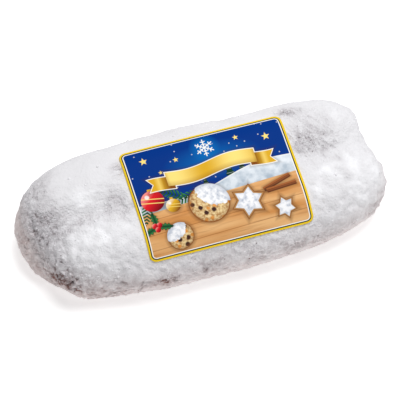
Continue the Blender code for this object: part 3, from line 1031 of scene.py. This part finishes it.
def hill_layer(finish, x, y, place, colour):
    """A snowy hill that rises to the right, with three firs along its crest."""
    for middle, tall in FIRS:
        from_foot = y - middle[1]
        tier_height = tall / 6
        tier = from_foot.maths("PINGPONG", tier_height) * 0.35
        fir = (x - middle[0]).size() - (tall - from_foot) * 0.30 - tier
        fir = fir.most(0.0 - from_foot).most(from_foot - tall)
        colour = finish.blend(colour, GREEN_DARK, inside(fir))
        snow = tier.ramp(0.32 * tier_height, 0.35 * tier_height)
        colour = finish.blend(colour, SNOW_LIGHT, inside(fir + 0.3) * snow)
    crest = (x * 0.075 - 0.5).maths("SINE") * 2.6 + x * 0.13 + 2.6
    soft = finish.noise(place, 150.0, 3.0).ramp(0.35, 0.62) * 0.6 + ((y + 9) * 0.03).held()
    snow = finish.blend(SNOW_SHADE, SNOW_LIGHT, soft.held())
    snow = finish.blend(snow, PAPER_WHITE, (y - crest).ramp(-1.0, 0.0) * 0.9)
    return finish.blend(colour, snow, inside(y - crest))


# %% Things on the table
def round_biscuit(finish, x, y, place, colour, middle, radius, cap_side=0.55):
    """A round biscuit of fruit dough: a baked rim, a cut face, and icing sugar over one side."""
    rim = disc(x, y, middle, radius)
    colour = finish.blend(cast_shadow(finish, colour, rim), BAKED_RIM, inside(rim))
    face = finish.blend(cut_dough(finish, place), BAKED_RIM, rim.ramp(-radius * 0.30, 0.0) * 0.6)
    colour = finish.blend(colour, face, inside(rim + radius * 0.05))
    cap = disc(x, y, (middle[0] + radius * cap_side, middle[1] + radius * 0.80), radius * 1.02)
    ragged = cap + (finish.noise(place, 420.0, 2.0) - 0.5) * (radius * 0.45)
    icing = finish.blend(powdered(finish, place), ICING_SHADE, rim.ramp(-radius * 0.25, 0.0) * 0.7)
    return finish.blend(colour, icing, inside(ragged.most(rim - radius * 0.02)))


def star_biscuit(finish, x, y, place, colour, middle, size, degrees):
    """A cinnamon star: a brown edge under a slightly smaller star of icing."""
    edge = star(x, y, middle, size, size * 0.62, 6, degrees)
    colour = finish.blend(cast_shadow(finish, colour, edge), BAKED_RIM, inside(edge))
    colour = finish.blend(colour, CRUMB_DARK, inside(edge + size * 0.04))
    shade = (edge + size * 0.3).ramp(0.0, size * 0.2) * 0.4
    icing = finish.blend(powdered(finish, place), ICING_SHADE, shade)
    return finish.blend(colour, icing, inside(edge + size * 0.11))


def bauble(finish, x, y, colour, middle, radius, inks):
    """A glass ball with a gold cap, two bright rings and a highlight."""
    ball = disc(x, y, middle, radius)
    colour = cast_shadow(finish, colour, ball)
    cap = round_box(x, y, (middle[0], middle[1] + radius + 0.3), (radius * 0.2, 0.9), 0.3)
    colour = finish.blend(colour, GOLD, inside(cap))
    glass = rounded(finish, x, y, middle, radius, *inks)
    rings = ((y - middle[1]) + (x - middle[0]) * 0.2).size() - radius * 0.2
    glass = finish.blend(glass, GOLD_LIGHT, inside(rings.size() - radius * 0.045) * 0.85)
    colour = finish.blend(colour, glass, inside(ball))
    shine = middle[0] - radius * 0.38, middle[1] + radius * 0.46
    return finish.blend(colour, PAPER_WHITE, disc(x, y, shine, radius * 0.2).ramp(0.3, -0.4) * 0.9)


def fir_twig(finish, x, y, colour, middle, degrees, half_length):
    """A twig: needles are slanted stripes inside a lens, light at the tips and dark at the stem."""
    along, aside = turned(x, y, middle, degrees)
    lens = aside.size() - (1 - (along * (1 / half_length)).maths("POWER", 2.0)) * half_length * 0.34
    needles = ((along * 1.1 - aside.size() * 0.8) * 2.6).maths("SINE").ramp(-0.6, 0.1)
    green = finish.blend(GREEN_DARK, GREEN, (aside.size() * (3 / half_length)).held())
    return finish.blend(colour, green, inside(lens) * needles)


def holly_sprig(finish, x, y, colour, middle, size):
    """Three leaves with a dark rib, and three berries with a highlight."""
    for degrees in (200, 95, -10):
        outward = np.array([np.cos(np.radians(degrees)), np.sin(np.radians(degrees))]) * size * 0.95
        centre = middle[0] + outward[0], middle[1] + outward[1]
        blade = leaf(x, y, centre, degrees, size, size * 0.44)
        colour = finish.blend(cast_shadow(finish, colour, blade, 1.2), GREEN_DARK, inside(blade))
        _, aside = turned(x, y, centre, degrees)
        green = finish.blend(GREEN_DARK, GREEN, aside.size().ramp(0.0, size * 0.3))
        colour = finish.blend(colour, green, inside(blade + size * 0.07))
    for degrees in (30, 150, 270):
        outward = np.array([np.cos(np.radians(degrees)), np.sin(np.radians(degrees))]) * size * 0.33
        centre = middle[0] + outward[0], middle[1] + outward[1]
        berry = rounded(finish, x, y, centre, size * 0.34, RED_LIGHT, RED, RED_DARK)
        colour = finish.blend(colour, berry, inside(disc(x, y, centre, size * 0.34)))
    return colour


def cinnamon_stick(finish, x, y, colour, middle, degrees):
    """A rolled bark quill, 19 mm long and 3 mm thick: light along its top and dark in its seam."""
    along, aside = turned(x, y, middle, degrees)
    quill = round_box(along, aside, (0, 0), (9.5, 1.5), 0.5)
    bark = finish.blend(CINNAMON_DARK, CINNAMON, aside.ramp(-1.4, 0.6))
    bark = finish.blend(bark, CINNAMON_DARK, inside((aside - 0.2).size() - 0.12))
    return finish.blend(cast_shadow(finish, colour, quill, 1.6), bark, inside(quill))


# %% Ribbon and frame
def ribbon_layer(finish, x, y, colour):
    """A plain gold ribbon that waves across the label, with two notched tails behind it."""
    wave = y - 12.5 - (x * 0.12).maths("SINE") * 1.5 - x * 0.04
    tail_y = wave + 2.4
    notch = x.size() - 39 - tail_y.size() * 0.7 + 2.5
    tails = (tail_y.size() - 4.2).most(notch).most(24 - x.size())
    band = (wave.size() - 4.7).most(x.size() - 28)
    colour = cast_shadow(finish, colour, tails.least(band), 2.6)
    colour = finish.blend(colour, PAPER_WHITE, inside(tails.least(band) - 0.5))
    tail_colour = finish.blend(GOLD_DARK, GOLD, (x.size() - 27).ramp(0.0, 6.0))
    tail_colour = finish.blend(tail_colour, GOLD_LIGHT, (x.size() - 33).size().ramp(2.5, 0.0) * 0.6)
    colour = finish.blend(colour, tail_colour, inside(tails))
    satin = ((x - 6) * 0.16).maths("SINE").ramp(-1.0, 1.0)
    band_colour = finish.blend(GOLD, GOLD_LIGHT, satin)
    band_colour = finish.blend(band_colour, GOLD_DARK, wave.ramp(-1.0, -4.9) * 0.45)
    band_colour = finish.blend(band_colour, GOLD_DARK, (x.size() - 26).ramp(0.0, 2.0) * 0.35)
    return finish.blend(colour, band_colour, inside(band))


def frame_layer(finish, x, y, colour):
    """From outside in: yellow, a dark line and a white line."""
    edge = round_box(x, y, (0, 0), (LABEL_LENGTH / 2, LABEL_DEPTH / 2), LABEL_CORNER)
    colour = finish.blend(colour, PAPER_WHITE, inside(-2.45 - edge))
    colour = finish.blend(colour, FRAME_LINE, inside(-1.85 - edge))
    return finish.blend(colour, YELLOW, inside(-1.15 - edge))


# %% Print the label
def print_material():
    """Lays the print's layers over each other, at x and y in millimetres from the label's middle."""
    finish = Finish("printed_paper")
    uv = finish.node("ShaderNodeUVMap", {"uv_map": "print"})
    x = (finish.axis(uv, "X") - 0.5) * LABEL_LENGTH
    y = (finish.axis(uv, "Y") - 0.5) * LABEL_DEPTH
    paper_place = finish.node("ShaderNodeCombineXYZ", {}, {"X": x * MM, "Y": y * MM})
    colour = hill_layer(finish, x, y, paper_place, sky_layer(finish, x, y, paper_place))
    table = table_layer(finish, x, y, paper_place)
    colour = finish.blend(colour, table, inside(y + 5.5 - x * 0.05))
    for middle, degrees in (((-27, 1), 150), ((-20, -3), 195), ((-45, -6), 250)):
        colour = fir_twig(finish, x, y, colour, middle, degrees, 9.5)
    colour = bauble(finish, x, y, colour, (-40, 0), 7.0, (RED_LIGHT, RED, RED_DARK))
    colour = bauble(finish, x, y, colour, (-29, -6), 4.4, (PAPER_WHITE, GOLD, GOLD_DARK))
    colour = cinnamon_stick(finish, x, y, colour, (35, -7.5), 18)
    colour = cinnamon_stick(finish, x, y, colour, (37, -11), 4)
    colour = round_biscuit(finish, x, y, paper_place, colour, (-8, -10), 12.5)
    colour = star_biscuit(finish, x, y, paper_place, colour, (15, -15), 11.5, 75)
    colour = round_biscuit(finish, x, y, paper_place, colour, (-30, -25.5), 8.0, -0.5)
    colour = star_biscuit(finish, x, y, paper_place, colour, (35.5, -24), 7.5, 100)
    colour = holly_sprig(finish, x, y, colour, (-42, -17), 5.0)
    colour = ribbon_layer(finish, x, y, colour)
    colour = frame_layer(finish, x, y, colour)
    fibres = finish.noise(paper_place, 900.0, 2.0)
    bump_inputs = {"Height": fibres, "Distance": 0.02 * MM, "Strength": 0.5}
    bump = finish.node("ShaderNodeBump", {}, bump_inputs)
    return finish.surface(base_color=colour, roughness=0.55, normal=bump, specular_ior_level=0.04)


printed_label.data.materials.append(print_material())

# %% [markdown]
# ## Floor, light and camera
#
# The loaf lies on a pale floor under soft studio light: a wide lamp above, a little to the right and
# behind, and a pale world that fills the shadows. The floor glows faintly, as a table of frosted glass does
# when it is lit from below, so that the loaf's shadow stays light. The camera has a long lens, far off, so
# that the loaf keeps its proportions.

# %% Floor and light
FLOOR_HALF = 3.0
FLOOR_WHITE = ink(248, 248, 248)
FLOOR_GLOW = 0.40
LAMP_PLACE, LAMP_AIM, LAMP_WIDTH, LAMP_POWER = (0.22, 0.08, 1.2), (0, 0, 0.02), 0.75, 12.2
WORLD_STRENGTH = 0.31


def make_floor():
    """A square of FLOOR_HALF to each side, at z = 0."""
    mesh = bpy.data.meshes.new("studio_floor")
    signs = ((-1, -1), (1, -1), (1, 1), (-1, 1))
    corners = [(x * FLOOR_HALF, y * FLOOR_HALF, 0) for x, y in signs]
    mesh.from_pydata(corners, [], [(0, 1, 2, 3)])
    floor = bpy.data.objects.new("studio_floor", mesh)
    bpy.context.collection.objects.link(floor)
    finish = Finish("studio_floor")
    white = {"base_color": FLOOR_WHITE, "roughness": 0.9, "specular_ior_level": 0.1}
    glow = {"emission_color": (1, 1, 1, 1), "emission_strength": FLOOR_GLOW}
    mesh.materials.append(finish.surface(**white, **glow))
    return floor


def aimed(direction):
    """The turn that points an object's own -Z along a direction, with its own Y upwards."""
    return Vector(direction).to_track_quat("-Z", "Y").to_euler()


def add_lamp(name, place, aim, width, power):
    """A square area lamp at a place in metres, turned to face its aim."""
    data = bpy.data.lights.new(name, "AREA")
    data.size = width
    data.energy = power
    lamp = bpy.data.objects.new(name, data)
    lamp.location = place
    direction = np.array(aim) - np.array(place)
    lamp.rotation_euler = aimed(direction)
    bpy.context.collection.objects.link(lamp)
    return lamp


make_floor()
add_lamp("key", LAMP_PLACE, LAMP_AIM, LAMP_WIDTH, LAMP_POWER)
world = bpy.data.worlds.new("studio")
world.use_nodes = True
background = world.node_tree.nodes["Background"]
background.inputs["Color"].default_value = (1, 1, 1, 1)
background.inputs["Strength"].default_value = WORLD_STRENGTH
bpy.context.scene.world = world
bpy.context.scene.view_settings.view_transform = "Standard"

# %% Camera
AZIMUTH, ELEVATION = np.radians(-17.2), np.radians(55)
CAMERA_DISTANCE = 1.5
VIEW_WIDTH = 242.8 * MM  # how much the view takes in, at the loaf
SENSOR = 36.0
LOAF_MIDDLE = np.array([-0.8, -0.6, 24.3])

level = np.cos(ELEVATION)
back = np.array([np.sin(AZIMUTH) * level, -np.cos(AZIMUTH) * level, np.sin(ELEVATION)])
aim = (TO_FRAME + LOAF_MIDDLE) * MM
camera_data = bpy.data.cameras.new("camera")
camera_data.sensor_width = SENSOR
camera_data.lens = SENSOR * CAMERA_DISTANCE / VIEW_WIDTH
camera_data.clip_start, camera_data.clip_end = 0.05, 20
camera = bpy.data.objects.new("camera", camera_data)
camera.location = aim + back * CAMERA_DISTANCE
camera.rotation_euler = aimed(-back)
bpy.context.collection.objects.link(camera)
bpy.context.scene.camera = camera
print(f"lens {camera_data.lens:.0f} mm at {CAMERA_DISTANCE} m")
